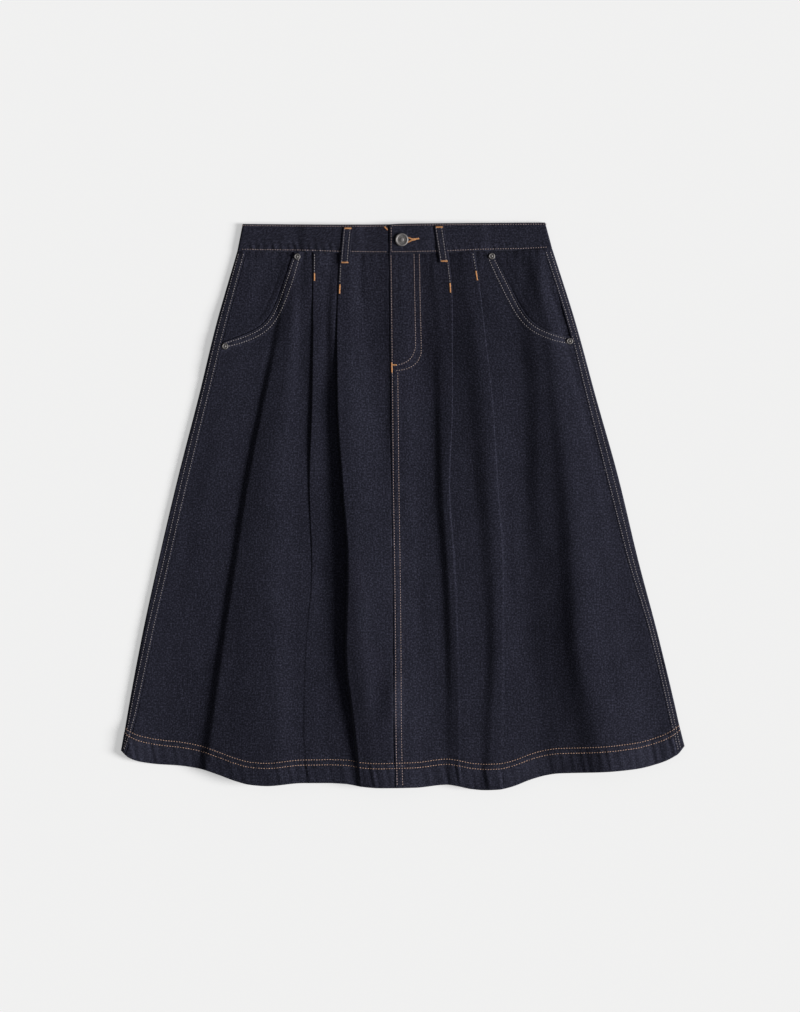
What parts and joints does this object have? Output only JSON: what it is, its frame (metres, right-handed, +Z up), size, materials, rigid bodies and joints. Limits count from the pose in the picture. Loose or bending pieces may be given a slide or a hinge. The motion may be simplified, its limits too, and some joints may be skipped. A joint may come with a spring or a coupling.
{
  "type": "denim skirt",
  "caption": "A-line denim skirt laid flat on its back, with front tucks, curved front pockets, a fly front, a waistband with belt loops and a metal button.",
  "frame": {"origin": "centre of the skirt's outline on the surface that it lies on, under the back panel", "axes": "+Y towards the waist, +X towards the wearer's left side seam, +Z up through the cloth, out of the front"},
  "size_m": [0.6763, 0.6813, 0.0174],
  "materials": {
    "denim": "raw dark indigo twill, matt, with a fine diagonal weave and slight slub",
    "thread": "copper and tobacco topstitching thread with a slight sheen",
    "aged_metal": "aged gunmetal, worn brighter on its edges"
  },
  "bodies": {
    "root": {"back_panel": "denim", "front_panel_right": "denim", "front_panel_left": "denim", "pocket_facing_right": "denim", "pocket_facing_left": "denim", "waistband": "denim", "belt_loop_right": "denim", "belt_loop_left": "denim", "waist_button": "aged_metal", "rivet_right_upper": "aged_metal", "rivet_left_upper": "aged_metal", "rivet_right_lower": "aged_metal", "rivet_left_lower": "aged_metal"}
  },
  "joints": []
}
